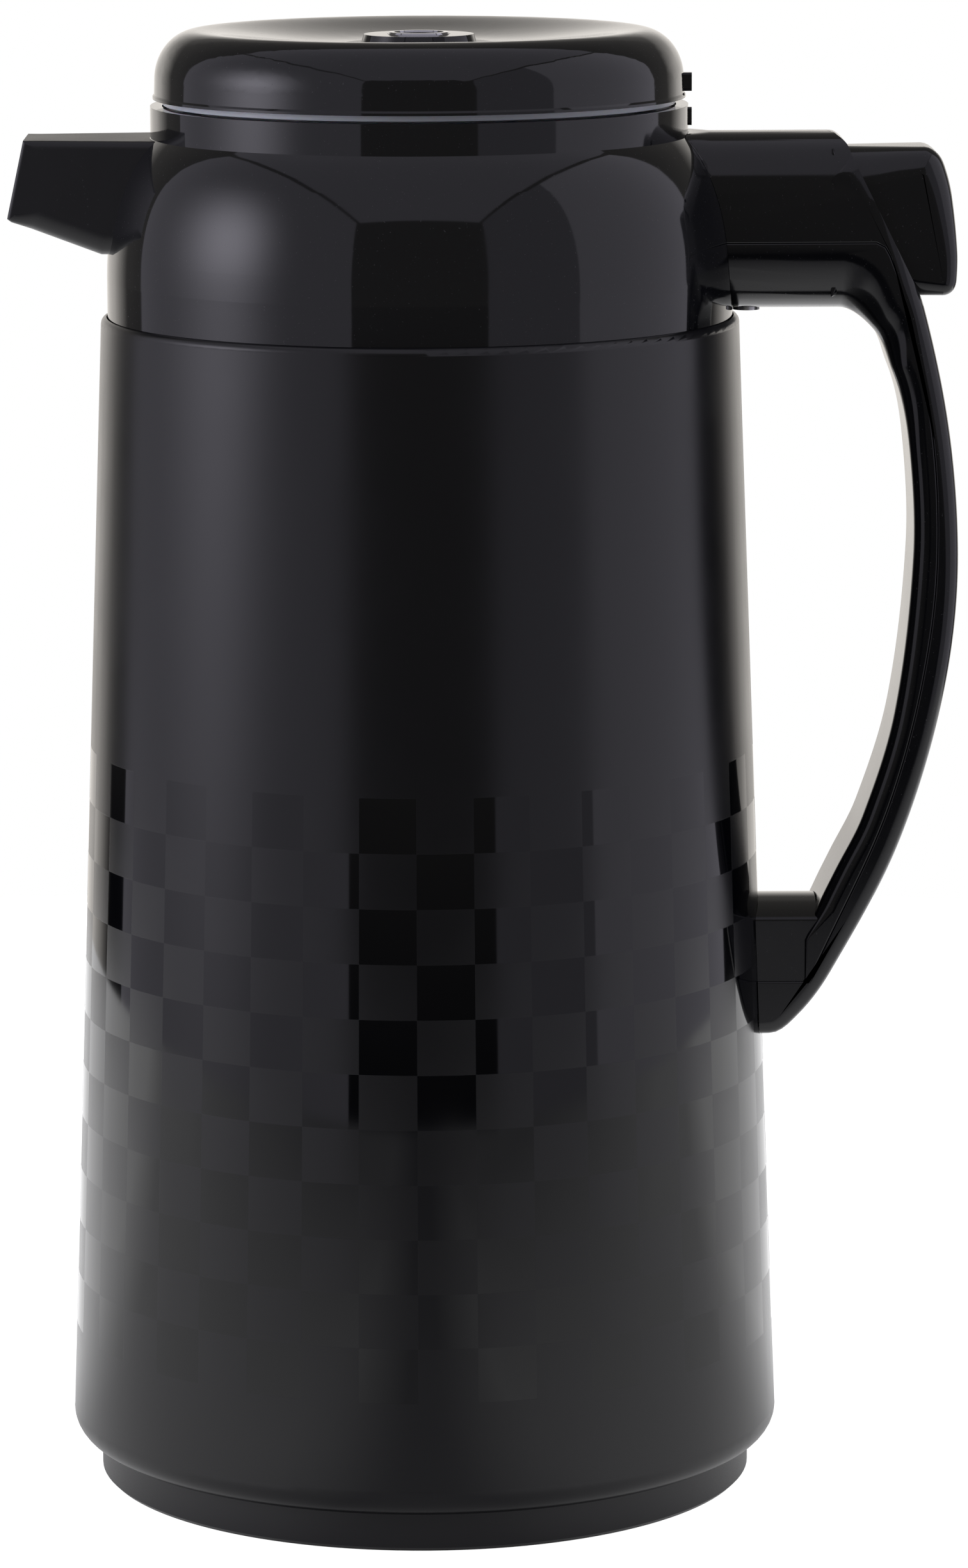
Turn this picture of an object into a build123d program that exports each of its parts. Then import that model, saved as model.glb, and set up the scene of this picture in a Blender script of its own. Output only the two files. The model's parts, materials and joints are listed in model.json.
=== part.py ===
from build123d import *
import math
import os

# Handled glass-lined coffee carafe with a push-button pouring stopper.
# Millimetres, +Z up, origin at the centre of the base; spout towards -X, handle towards +X.

# Driving dimensions
gap = 0.3                    # clearance between pieces that move past each other
foot_radius = 66.7
foot_height = 9.2
jacket_sheet = 0.6
jacket_hem_z = 8.0
jacket_bottom_z = 13.8
jacket_bottom_radius = 72.3
jacket_top_z = 238.2
jacket_top_radius = 64.1
shoulder_radius = 62.8
shoulder_skirt_z = 226.0
dome_start_z = 246.0
neck_radius = 53.8
neck_crease_z = 274.1
neck_top_z = 280.3
spout_top_z = 274.0
moulded_wall = 2.4
glass_wall = 1.8
glass_bottom_z = 20.0
glass_outer_radius = 58.0
glass_inner_radius = 52.0
glass_lip_z = 238.0
glass_mouth_radius = 24.2
well_radius = 47.5
well_outer_radius = 49.6
well_floor_z = 241.0
drum_radius = 43.5
drum_wall = 2.0
drum_floor_z = 246.0
drum_top_z = 280.6
plug_radius = 22.0
plug_bottom_z = 222.0
flange_radius = 51.2
flange_top_z = 282.6
lid_bottom_z = 281.8
lid_radius = 52.9
lid_corner_width = 8.5
lid_corner_height = 9.8
lid_crest_z = 295.3
lid_dish_z = 292.5
rod_z = 262.5
rod_radius = 3.0
rod_nose_x = 44.3
button_face_x = 82.0
button_width = 21.2
button_bottom_z = 242.3
button_top_z = 271.8
ramp_slope = 0.8
stem_radius = 2.5
lug_angle = 20.0
lug_count = 2
lug_width = 16.0
lug_thickness = 2.6
lid_lead = 60.0
handle_width = 26.0
arm_bottom_z = 239.4
arm_top_z = 274.7
seam_z = 253.3
seam_groove = 0.35
bracket_bottom_z = 103.4
bracket_side_z = 116.4
bracket_top_z = 119.1
bracket_end_x = 77.4
seam_foot_x = 78.3
grip_foot_z = 112.0
wrap_bottom_z = 92.2
bracket_screw_z = 111.0
arm_screw_x = 65.6


def turned(*outline):
    """Solid of revolution about Z from corner points given as (radius, height)."""
    return revolve(make_face(Plane.XZ * Polyline(*outline, close=True)), Axis.Z)


def turned_curve(*edges):
    """Solid of revolution about Z from the edges of a closed outline."""
    return revolve(make_face(Plane.XZ * (Curve() + list(edges))), Axis.Z)


def across(face, width):
    """A side outline in the X-Z plane made into a slab of this width, centred on Y = 0."""
    return extrude(Plane.XZ * face, amount=width / 2, both=True)


def rod_along_x(radius, start, end, z=rod_z):
    """Round bar lying along X between two X positions."""
    return Pos((start + end) / 2, 0, z) * Rot(0, 90, 0) * Cylinder(radius, end - start)


def box_between(low, high):
    """Box from its lowest corner to its highest."""
    size = [b - a for a, b in zip(low, high)]
    middle = [(a + b) / 2 for a, b in zip(low, high)]
    return Pos(*middle) * Box(*size)


def tube(outer, inner, low, high):
    """Upright ring between two heights."""
    return turned((inner, low), (outer, low), (outer, high), (inner, high))


def coil(radius, wire, length, turns):
    """Helical spring standing on Z = 0, drawn between the middles of its end turns."""
    path = Helix(length / turns, length, radius)
    start = Plane(path @ 0, z_dir=path % 0)
    return sweep(start * Circle(wire / 2), path=path)


def jacket_radius(z):
    """Outside radius of the straight cone of the jacket at height z."""
    rise = (z - jacket_bottom_z) / (jacket_top_z - jacket_bottom_z)
    return jacket_bottom_radius + rise * (jacket_top_radius - jacket_bottom_radius)


# Base and jacket

def base_ring():
    """Foot ring: its flange holds the jacket's turned-in hem from above."""
    bore = 60.4
    flange = 69.4
    collar = 63.4
    return turned(
        (bore, 0), (foot_radius - 0.8, 0), (foot_radius, 0.8), (foot_radius, foot_height),
        (flange, foot_height), (flange, foot_height + 2), (collar, foot_height + 2),
        (collar, 20), (bore, 20))


def base_cap():
    """Screw-in bottom cap that clamps the glass, with a grip bar level with the foot."""
    cap = turned((0, 1.2), (60.2, 1.2), (60.2, 18), (57.6, 18), (57.6, 3.6), (0, 3.6))
    grip_bar = fillet(Box(64, 9, 1.2, align=(Align.CENTER, Align.CENTER, Align.MIN)).edges()
                      .filter_by(Axis.Z), 4.4)
    return cap + grip_bar


def bottom_cushion():
    """Rubber ring on which the glass stands."""
    return turned((14, 3.6), (36, 3.6), (33, glass_bottom_z), (16, glass_bottom_z))


def steel_jacket():
    """Thin tapered sleeve with a rolled bottom hem and a top edge folded inwards."""
    hem = foot_radius + 0.5
    fold = shoulder_radius + 0.25
    roll_z = jacket_top_z - 1.5
    roll_radius = jacket_radius(roll_z)
    inner_bottom = jacket_bottom_radius - jacket_sheet
    sleeve = turned_curve(
        ThreePointArc((hem, jacket_hem_z), (70.9, 9.5), (jacket_bottom_radius, jacket_bottom_z)),
        Line((jacket_bottom_radius, jacket_bottom_z), (roll_radius, roll_z)),
        ThreePointArc((roll_radius, roll_z), (roll_radius - 0.4, jacket_top_z - 0.4), (fold, jacket_top_z)),
        Line((fold, jacket_top_z), (fold, jacket_top_z - jacket_sheet)),
        Line((fold, jacket_top_z - jacket_sheet), (roll_radius - jacket_sheet, roll_z)),
        Line((roll_radius - jacket_sheet, roll_z), (inner_bottom, jacket_bottom_z)),
        ThreePointArc((inner_bottom, jacket_bottom_z), (70.5, 9.95), (hem, jacket_hem_z + jacket_sheet)),
        Line((hem, jacket_hem_z + jacket_sheet), (hem, jacket_hem_z)))
    return sleeve - rod_along_x(1.55, 55, 84, bracket_screw_z)


def jacket_gasket():
    """Soft ring between the shoulder's skirt and the jacket."""
    return tube(shoulder_radius + 0.6, shoulder_radius + 0.02, 229, jacket_top_z - 1.6)


# Vacuum glass

def bottle(radius, bottom, neck):
    """Solid in the shape of a flask: flat bottom, rounded corner, waist to a narrow neck."""
    corner = 18
    shoulder_z = 188
    neck_z = 228
    return turned_curve(
        Line((0, bottom), (radius - corner, bottom)),
        RadiusArc((radius - corner, bottom), (radius, bottom + corner), -corner),
        Line((radius, bottom + corner), (radius, shoulder_z)),
        Bezier((radius, shoulder_z), (radius, shoulder_z + 26), (neck, neck_z - 18), (neck, neck_z)),
        Line((neck, neck_z), (neck, glass_lip_z)),
        Line((neck, glass_lip_z), (0, glass_lip_z)),
        Line((0, glass_lip_z), (0, bottom)))


def glass_outer():
    """Outer flask wall, joined to the inner one at the lip."""
    hollow = bottle(glass_outer_radius - glass_wall, glass_bottom_z + glass_wall, 29.2)
    lip = tube(31.5, 23, glass_lip_z - 2, glass_lip_z + 1)
    return bottle(glass_outer_radius, glass_bottom_z, 31) - hollow - lip


def glass_inner():
    """Inner flask that holds the coffee, with the lip that closes the vacuum."""
    bottom = glass_bottom_z + 7
    wall = bottle(glass_inner_radius, bottom, glass_mouth_radius + glass_wall)
    hollow = bottle(glass_inner_radius - glass_wall, bottom + glass_wall, glass_mouth_radius)
    lip = tube(31, glass_mouth_radius, glass_lip_z - 2, glass_lip_z)
    return wall - hollow + lip


def liner_pads():
    """Three small spacers that keep the two glass walls apart."""
    pad = Pos(42, 0, glass_bottom_z + glass_wall) * Cylinder(
        4, 7 - glass_wall - 1.0, align=(Align.CENTER, Align.CENTER, Align.MIN))
    return [Rot(0, 0, 120 * i) * Pos(-12, 0, 0) * pad for i in range(3)]


def neck_packing():
    """Rubber ring that seals the glass lip to the stopper well."""
    return turned((24.6, glass_lip_z), (31.3, glass_lip_z), (31.3, 230), (34, 230),
                  (34, well_floor_z), (24.6, well_floor_z))


# Stopper well and shoulder

def slanted_lug(inner, outer, z, angle):
    """Bayonet lug that climbs with the lid's lead, bounded by two radii."""
    middle = (inner + outer) / 2
    slant = math.degrees(math.atan(lid_lead / (2 * math.pi * middle)))
    block = Pos(middle, 0, z) * Rot(slant, 0, 0) * Box(outer - inner + 8, lug_width, lug_thickness)
    ring = tube(outer, inner, z - 12, z + 12)
    return Rot(0, 0, angle) * (block & ring)


def lugs(inner, outer, z):
    """The bayonet lugs evenly round the axis."""
    step = 360 / lug_count
    return [slanted_lug(inner, outer, z, lug_angle + step * i) for i in range(lug_count)]


female_lug_z = 257.0
male_lug_z = female_lug_z - lug_thickness - 0.9


def mouth_ring():
    """Plastic well that takes the stopper, with the pouring port and the rod's hole."""
    rim = neck_radius - moulded_wall - 0.2
    well = turned(
        (25.4, well_floor_z), (34.3, well_floor_z), (34.3, 232), (36.5, 232),
        (36.5, well_floor_z), (well_outer_radius, well_floor_z), (well_outer_radius, 276),
        (rim, 276), (rim, 279.2), (well_radius, 279.2), (well_radius, well_floor_z + 2.5),
        (25.4, well_floor_z + 2.5))
    for lug in lugs(drum_radius + 0.9, well_radius + 0.5, female_lug_z):
        well += lug
    port = box_between((-60, -8, 255), (-40, 8, 269))
    return well - port - rod_along_x(5.25, 40, 60)


def dome_curve(inset):
    """Profile of the dome from the shoulder's wall to the neck, set in by a wall thickness."""
    wall = shoulder_radius - inset
    neck = neck_radius - inset
    crease = neck_crease_z - 0.5 * inset
    return Bezier((wall, dome_start_z), (wall, 258.5), (neck + 5.6, crease - 5.0), (neck, crease))


def shoulder_envelope():
    """Outside shape of the shoulder as a solid."""
    return turned_curve(
        Polyline((0, shoulder_skirt_z), (shoulder_radius, shoulder_skirt_z), (shoulder_radius, dome_start_z)),
        dome_curve(0),
        Polyline((neck_radius, neck_crease_z), (neck_radius, neck_top_z), (0, neck_top_z),
                 (0, shoulder_skirt_z)))


def shoulder_hollow():
    """Inside shape of the shoulder, with the ledge that carries the stopper well."""
    skirt = shoulder_radius - moulded_wall
    throat = neck_radius - moulded_wall
    ledge = well_outer_radius + 0.2
    dome_end_z = neck_crease_z - 0.5 * moulded_wall
    return turned_curve(
        Polyline((0, shoulder_skirt_z - 1), (skirt, shoulder_skirt_z - 1), (skirt, dome_start_z)),
        dome_curve(moulded_wall),
        Polyline((throat, dome_end_z), (ledge, dome_end_z), (ledge, 276), (throat, 276),
                 (throat, neck_top_z + 1), (0, neck_top_z + 1), (0, shoulder_skirt_z - 1)))


def alignment_bar(radius, low, high):
    """Thin upright bar that stands proud on the handle side."""
    bar = box_between((radius - 1.2, -1.1, low), (radius + 0.7, 1.1, high))
    return fillet(bar.edges().filter_by(Axis.X), 0.5)


def shoulder(spout_shape):
    """Domed shoulder and neck, with windows for the spout and the push rod."""
    shell = shoulder_envelope() - shoulder_hollow()
    shell += alignment_bar(neck_radius, 275.9, 279.5)
    return shell - spout_shape - rod_along_x(5.05, 40, 70)


# Spout

def spout_width(x, inset):
    """Half width of the spout at x, on side faces that converge towards the tip."""
    return 9.2 + (x + 82.4) * 0.135 - inset


def spout_prism(side, start, inset):
    """Side outline given the spout's converging side faces, from x = start inwards."""
    wide = spout_width(-45, inset)
    narrow = spout_width(start, inset)
    plan = make_face(Polyline((-45, wide), (start, narrow), (start, -narrow), (-45, -wide), close=True))
    return across(side, 60) & Pos(0, 0, 240) * extrude(plan, amount=40)


def spout_block():
    """Outside shape of the spout: flat top, raked tip and rounded lower edges."""
    side = make_face(Polyline((-45, spout_top_z), (-78.8, spout_top_z), (-82.2, 258.4), (-81.4, 257.7),
                              (-63.5, 251.2), (-45, 251.2), close=True))
    block = spout_prism(side, -84, 0)
    long_edges = [e for e in block.edges() if 250 < e.center().Z < 256 and abs(e.center().Y) > 4]
    return fillet(long_edges, 4.5)


def spout_channel():
    """Pouring channel through the spout, open past both ends."""
    side = make_face(Polyline((-45, spout_top_z - 2), (-90, spout_top_z - 2), (-90, 263), (-63.5, 253.4),
                              (-45, 253.4), close=True))
    block = spout_prism(side, -90, 2.2)
    long_edges = [e for e in block.edges() if 250 < e.center().Z < 262 and abs(e.center().Y) > 4]
    return fillet(long_edges, 2.5)


def spout():
    """Tapered pouring spout with an open channel through it."""
    inner_end = Cylinder(51.3, 120, align=(Align.CENTER, Align.CENTER, Align.MIN))
    return spout_block() - spout_channel() - Pos(0, 0, 200) * inner_end


def port_seal():
    """Soft frame that joins the spout's channel to the port of the stopper well."""
    frame = box_between((-60, -11.5, 252.6), (-40, 11.5, 271.6)) - box_between((-60, -8, 255), (-40, 8, 269))
    ring = tube(51.2, well_outer_radius + 0.02, 240, 280)
    return frame & ring


# Handle

def rounded_section(width, low, high, low_radius, high_radius):
    """Y-Z section with its lower and upper corners rounded by two radii."""
    section = Plane.YZ * Pos(0, (low + high) / 2) * Rectangle(width, high - low)
    corners = section.vertices().sort_by(Axis.Z)
    section = fillet(corners[:2], low_radius)
    return fillet(section.vertices().sort_by(Axis.Z)[-2:], high_radius)


def side_edges(slab):
    """The edges along the two side faces of a slab that is as wide as the handle."""
    return [e for e in slab.edges() if abs(abs(e.center().Y) - handle_width / 2) < 0.01]


def finger_side():
    """Everything behind the handle's finger side, with that side's long edges rounded."""
    grip = Spline((bracket_end_x, grip_foot_z), (89.0, 137), (95.3, 158.2), (98.8, 189.7), (98.0, 210.6),
                  (94.5, 227), tangents=[(0.42, 0.9), (-0.38, 0.92)])
    bend = Spline((94.5, 227), (90.8, 235.4), (83, arm_bottom_z), tangents=[(-0.38, 0.92), (-1, 0)])
    far_side = Polyline((83, arm_bottom_z), (40, arm_bottom_z), (40, 300), (130, 300), (130, 70), (60, 70),
                        (60, grip_foot_z), (bracket_end_x, grip_foot_z))
    slab = across(make_face(Curve() + [grip, bend, far_side]), handle_width)
    long_edges = [e for e in side_edges(slab)
                  if (e.center().X < 83 and abs(e.center().Z - arm_bottom_z) < 0.3)
                  or (76 < e.center().X < 100 and 111 < e.center().Z < 240)]
    return fillet(long_edges, 6)


def palm_side():
    """Everything in front of the handle's outer side, with that side's long edges rounded."""
    back = Spline((93.2, 262), (104.0, 226.1), (107.9, 192), (105.5, 163.4), (96.5, 131.7),
                  (82.8, 104.9), (76.4, 96.2), (70.4, wrap_bottom_z), tangents=[(0.42, -1), (-1, 0)])
    near_side = Polyline((70.4, wrap_bottom_z), (40, wrap_bottom_z), (40, 300), (80, 300), (93.2, 262))
    slab = across(make_face(Curve() + [back, near_side]), handle_width)
    long_edges = [e for e in side_edges(slab)
                  if e.center().Z < wrap_bottom_z + 1 or (e.center().X > 95 and e.center().Z < 200)]
    return fillet(long_edges, 3.4)


def button_mouth():
    """Everything on the arm's side of the sloping mouth from which the button sticks out."""
    return across(make_face(Curve() + [
        Polyline((82.0, arm_top_z + 1), (40, arm_top_z + 1), (40, 70), (130, 70), (130, 233), (100.5, 242.3),
                 (86.2, 270.0)),
        ThreePointArc((86.2, 270.0), (84.9, 272.8), (82.0, arm_top_z + 1))]), 60)


def handle_solid():
    """Whole handle before it is split: arm and grip, cut to the body's shape."""
    jacket_cone = turned((0, 0), (jacket_radius(0) + 0.3, 0),
                         (jacket_radius(jacket_top_z) + 0.3, jacket_top_z), (0, jacket_top_z))
    bar = Pos(40, 0, 0) * extrude(rounded_section(handle_width, 60, arm_top_z, 1, 11), amount=100)
    return (finger_side() & palm_side() & bar & button_mouth()) - jacket_cone - shoulder_envelope()


def seam_outline(groove):
    """Outline of everything on the grip's inner side of the parting line, grown by a groove."""
    line_down = Spline((91.7 + groove, seam_z + groove), (98.6 + groove, 236.5), (103.2 + groove, 205.3),
                       (102.4 + groove, 175), (94.4 + groove, 140), (seam_foot_x + groove, bracket_bottom_z),
                       tangents=[(0.2, -1), (-0.42, -1)])
    return make_face(Curve() + [
        Polyline((45, bracket_bottom_z), (45, seam_z + groove), (91.7 + groove, seam_z + groove)),
        line_down, Line((seam_foot_x + groove, bracket_bottom_z), (45, bracket_bottom_z))])


def button_housing_hollow():
    """Room inside the arm for the button, its spring and its travel."""
    section = rounded_section(button_width + 0.9, button_bottom_z - 0.45, button_top_z + 0.45, 7, 8)
    return Pos(68, 0, 0) * extrude(section, amount=45)


def bracket_block(end):
    """Bar of the lower bracket up to x = end, arched on top like a bridge."""
    half = handle_width / 2 - 0.5
    rise = bracket_top_z - bracket_side_z
    arch_radius = (half ** 2 + rise ** 2) / (2 * rise)
    arch = rod_along_x(arch_radius, 50, 80, bracket_top_z - arch_radius)
    block = arch & box_between((55, -half, bracket_bottom_z), (end, half, bracket_top_z))
    creases = [e for e in block.edges() if abs(e.center().Z - bracket_side_z) < 0.1 and abs(e.center().Y) > 5]
    return fillet([e for e in creases if abs((e % 0.5).X) > 0.9], 0.8)


def screw_holes():
    """Holes and counterbores for the handle's two screws."""
    head_room = 2.9
    upper = Pos(arm_screw_x, 0, 247) * Cylinder(1.55, 19) + Pos(arm_screw_x, 0, 238) * Cylinder(head_room, 5)
    lower = rod_along_x(1.55, 55, 82, bracket_screw_z) + rod_along_x(head_room, 80, 82.4, bracket_screw_z)
    return upper + lower


def bracket_room():
    """Space that both handle mouldings leave for the lower bracket."""
    return box_between((50, -20, bracket_bottom_z), (bracket_end_x, 20, bracket_top_z + 2))


def handle_outer(whole):
    """Outer moulding: top of the arm, back of the grip and the wrap under the bracket."""
    core = across(seam_outline(0), 60)
    groove_depth = 0.8
    sides = across(seam_outline(seam_groove), 60) - Box(400, handle_width - 2 * groove_depth, 600)
    return whole - core - sides - bracket_room()


def handle_inner(whole):
    """Inner moulding: underside of the arm and the finger side of the grip."""
    return (whole & across(seam_outline(0), 60)) - bracket_room()


def lower_bracket():
    """Block that carries the grip's lower end on the jacket and fills the angle under the fingers."""
    nose_end = bracket_end_x + 3.2
    nose = bracket_block(nose_end) & box_between((bracket_end_x, -20, grip_foot_z + 0.1), (nose_end, 20, 130))
    block = bracket_block(bracket_end_x) + (nose - finger_side())
    jacket_cone = turned((0, 0), (jacket_radius(0), 0),
                         (jacket_radius(jacket_top_z), jacket_top_z), (0, jacket_top_z))
    return block - jacket_cone - rod_along_x(1.55, 55, 84, bracket_screw_z)


def bracket_plate():
    """Curved plate inside the jacket that the lower screws pull against."""
    ring = tube(jacket_radius(120) - jacket_sheet - 0.3, jacket_radius(120) - jacket_sheet - 2.3, 100, 122)
    window = box_between((50, -11, 100), (75, 11, 122))
    return (ring & window) - rod_along_x(1.55, 55, 84, bracket_screw_z)


def screw(length, head=2.7, shank=1.5):
    """Pan-head screw standing on Z = 0 with its shank upwards."""
    body = Cylinder(shank, length, align=(Align.CENTER, Align.CENTER, Align.MIN))
    cap = Pos(0, 0, -1.6) * Cylinder(head, 1.6, align=(Align.CENTER, Align.CENTER, Align.MIN))
    cross = Box(3.2, 0.7, 1.6) + Box(0.7, 3.2, 1.6)
    return body + cap - Pos(0, 0, -1.6) * cross


def handle_screws():
    """Two screws: one under the arm and one through the lower bracket."""
    upper = Pos(arm_screw_x, 0, 240.5) * screw(15.5)
    lower = Pos(80, 0, bracket_screw_z) * Rot(0, -90, 0) * screw(14.2)
    return [upper, lower]


def rod_bush():
    """Plastic sleeve that guides the push rod through the arm."""
    return rod_along_x(5.0, 58, 67.9) - rod_along_x(rod_radius + 0.06, 50, 70)


def rod_grommet():
    """Rubber wiper round the rod in the wall of the stopper well."""
    return rod_along_x(5.2, well_radius - 0.3, well_outer_radius + 0.4) - rod_along_x(rod_radius + 0.06, 40, 60)


# Button

def button_side():
    """Side outline of the button: level top, a bowed end and a small lower corner."""
    return make_face(Curve() + [
        Polyline((button_face_x, button_bottom_z), (button_face_x, button_top_z), (100.4, button_top_z)),
        Spline((100.4, button_top_z), (103.4, 270.1), (105.0, 266.6), (106.1, 261.5), (107.2, 251),
               (107.2, 245.0), tangents=[(1, 0), (-0.05, -1)]),
        ThreePointArc((107.2, 245.0), (106.4, 243.1), (104.5, button_bottom_z)),
        Line((104.5, button_bottom_z), (button_face_x, button_bottom_z))])


def pour_button():
    """Push button: hollow cap with a central boss for the rod."""
    section = rounded_section(button_width, button_bottom_z, button_top_z, 7.5, 8.5)
    block = (Pos(70, 0, 0) * extrude(section, amount=50)) & across(button_side(), 60)
    wall = 2.2
    room = rounded_section(button_width - 2 * wall, button_bottom_z + wall, button_top_z - wall, 5.5, 6.5)
    cap = block - Pos(button_face_x - 1, 0, 0) * extrude(room, amount=18.4)
    cap += rod_along_x(6.8, button_face_x, 101)
    return cap - rod_along_x(rod_radius + 0.02, 80, 96) - Pos(90, 0, rod_z) * Cylinder(1.02, 13.7)


def push_rod():
    """Steel rod from the button to the stopper."""
    rod = chamfer(rod_along_x(rod_radius, rod_nose_x, 95.9).edges(), 0.4)
    return rod - Pos(90, 0, rod_z) * Cylinder(1.02, 40)


def button_pin():
    """Cross pin that holds the rod in the button's boss."""
    return Pos(90, 0, rod_z) * Cylinder(1.0, 13.2)


def button_spring():
    """Return spring round the rod."""
    wire = 0.8
    length = button_face_x - 68 - wire - 0.2
    return Pos(68 + wire / 2 + 0.1, 0, rod_z) * Rot(0, 90, 0) * coil(4.9, wire, length, 7)


# Lid and stopper

def rim_curve(radius, crest_z, width, height):
    """Rounded corner from the lid's upright wall to its crest, drawn as a quarter of an ellipse."""
    handle_share = 0.5523
    low = crest_z - height
    crest = radius - width
    return Bezier((radius, low), (radius, low + handle_share * height), (crest + handle_share * width, crest_z),
                  (crest, crest_z))


def lid_cover():
    """Dished lid with a rounded rim, a hub and three screw bosses."""
    wall = 2.4
    crest = lid_radius - lid_corner_width
    corner_z = lid_crest_z - lid_corner_height
    hub_top = 294.3
    cover = turned_curve(
        Polyline((51.5, lid_bottom_z), (53.3, lid_bottom_z), (53.3, lid_bottom_z + 0.5),
                 (lid_radius + 0.1, lid_bottom_z + 0.9), (lid_radius, corner_z)),
        rim_curve(lid_radius, lid_crest_z, lid_corner_width, lid_corner_height),
        Bezier((crest, lid_crest_z), (crest - 5, lid_crest_z), (26, lid_dish_z + 0.2), (15, lid_dish_z)),
        Polyline((15, lid_dish_z), (11.6, lid_dish_z), (11, hub_top), (6.3, hub_top), (6.3, lid_dish_z - wall),
                 (15, lid_dish_z - wall)),
        Bezier((15, lid_dish_z - wall), (26, lid_dish_z - wall + 0.2), (crest - 5, lid_crest_z - wall),
               (crest, lid_crest_z - wall)),
        rim_curve(lid_radius - wall, lid_crest_z - wall, lid_corner_width - wall, lid_corner_height - wall),
        Polyline((lid_radius - wall, corner_z), (lid_radius - wall, flange_top_z), (51.5, flange_top_z),
                 (51.5, lid_bottom_z)))
    cover += alignment_bar(lid_radius + 0.9, 282.7, 286.4)
    for i in range(3):
        boss = tube(3.4, 1.3, drum_top_z, lid_dish_z - 1.4)
        cover += Rot(0, 0, 60 + 120 * i) * Pos(28, 0, 0) * boss
    return cover


def lid_hub():
    """Bright ring set in the middle of the lid."""
    return turned((4.8, 284), (6.2, 284), (6.2, 294.3), (5.9, 294.7), (5.1, 294.7), (4.8, 294.3))


def stopper_body():
    """Stopper drum with its flange, plug, valve seat and side port."""
    inner = drum_radius - drum_wall
    drum = turned(
        (8, plug_bottom_z), (plug_radius - 0.6, plug_bottom_z), (plug_radius, plug_bottom_z + 0.6),
        (plug_radius, 225.7), (20.7, 225.7), (20.7, 232.3), (plug_radius, 232.3),
        (plug_radius, drum_floor_z), (drum_radius, drum_floor_z), (drum_radius, drum_top_z),
        (flange_radius, drum_top_z), (flange_radius, flange_top_z), (inner, flange_top_z),
        (inner, drum_floor_z + 2), (19.4, drum_floor_z + 2), (19.4, 224.5), (8, 224.5))
    drum -= Pos(0, 0, 273) * Torus(45.2, 2.0)
    for lug in lugs(drum_radius - 0.5, well_radius - 0.8, male_lug_z):
        drum += lug
    port = box_between((-50, -9, 256), (-35, 9, 268))
    return drum - port - rod_along_x(4.0, 35, 50)


def stopper_cover():
    """Disc that closes the top of the stopper drum and carries the lid's screws."""
    disc = turned((0, 278.2), (41.3, 278.2), (41.3, drum_top_z), (0, drum_top_z))
    for i in range(3):
        disc -= Rot(0, 0, 60 + 120 * i) * Pos(28, 0, 279) * Cylinder(1.55, 8)
    return disc


def lid_screws():
    """Three screws that hold the lid on the stopper."""
    return [Rot(0, 0, 60 + 120 * i) * Pos(28, 0, 278.2) * screw(11, shank=1.25) for i in range(3)]


def drum_seal():
    """O-ring round the top of the stopper drum."""
    return Pos(0, 0, 273) * Torus(45.2, 1.9)


def stopper_seal():
    """Silicone ring that closes the glass mouth round the plug."""
    outer = glass_mouth_radius - gap
    return turned((21, 226), (22.6, 226), (outer, 227.6), (outer, 230.4), (22.6, 232), (21, 232))


def stem_guide():
    """Disc in the stopper that guides the valve stem and the sliding cam."""
    disc = tube(41.2, stem_radius + 0.06, drum_floor_z + 2, drum_floor_z + 4.5)
    for i in range(6):
        disc -= Rot(0, 0, 60 * i + 30) * Pos(13, 0, 249) * Cylinder(3.6, 8)
    for side in (-1, 1):
        disc += box_between((-20, 9.3 * side - 1, 250), (37, 9.3 * side + 1, 268))
    return disc + box_between((10, -8, 250), (36, 8, 256.7))


def cam_slider():
    """Sliding wedge that the rod pushes and that raises the valve stem."""
    side = make_face(Polyline((-7.5, 257), (34, 257), (34, 266.5), (16, 266.5), (16, 271), (10, 271),
                              close=True))
    slot = box_between((-12, -3.3, 250), (9, 3.3, 280))
    return across(side, 16) - slot + rod_along_x(3.4, 33, rod_nose_x - 0.4)


def pin_height():
    """Height of the stem's cross pin, resting on the wedge with a little clearance."""
    ramp_at_axis = 257 + 7.5 * ramp_slope
    return ramp_at_axis + (1.5 + 0.2) * math.hypot(1, ramp_slope)


def valve_stem():
    """Stem that joins the valve disc to the cam's cross pin."""
    stem = Pos(0, 0, 225.8) * Cylinder(stem_radius, 42.8, align=(Align.CENTER, Align.CENTER, Align.MIN))
    return stem - Pos(0, 0, pin_height()) * Rot(90, 0, 0) * Cylinder(1.52, 20)


def stem_pin():
    """Cross pin that rides on the wedge."""
    return Pos(0, 0, pin_height()) * Rot(90, 0, 0) * Cylinder(1.5, 14.4)


def valve_disc():
    """Disc that closes the stopper's inlet."""
    bore = stem_radius + 0.02
    return turned((bore, 225.8), (12, 225.8), (12, 228), (4.4, 228), (4.4, 231), (bore, 231))


def valve_washer():
    """Silicone washer under the valve disc."""
    return tube(11.8, 5, 224.6, 225.8)


def valve_spring():
    """Spring that pushes the valve down on its seat."""
    wire = 0.8
    length = drum_floor_z + 2 - 228 - wire - 0.2
    return Pos(0, 0, 228 + wire / 2 + 0.1) * coil(5.6, wire, length, 7)


def write(name, shape):
    """Write one named piece, or a group of equal pieces, as a STEP file."""
    if isinstance(shape, list):
        shape = Compound(children=[s.solid() if len(s.solids()) == 1 else s for s in shape])
    shape.label = name
    export_step(shape, os.path.join("parts", name + ".step"))


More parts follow.
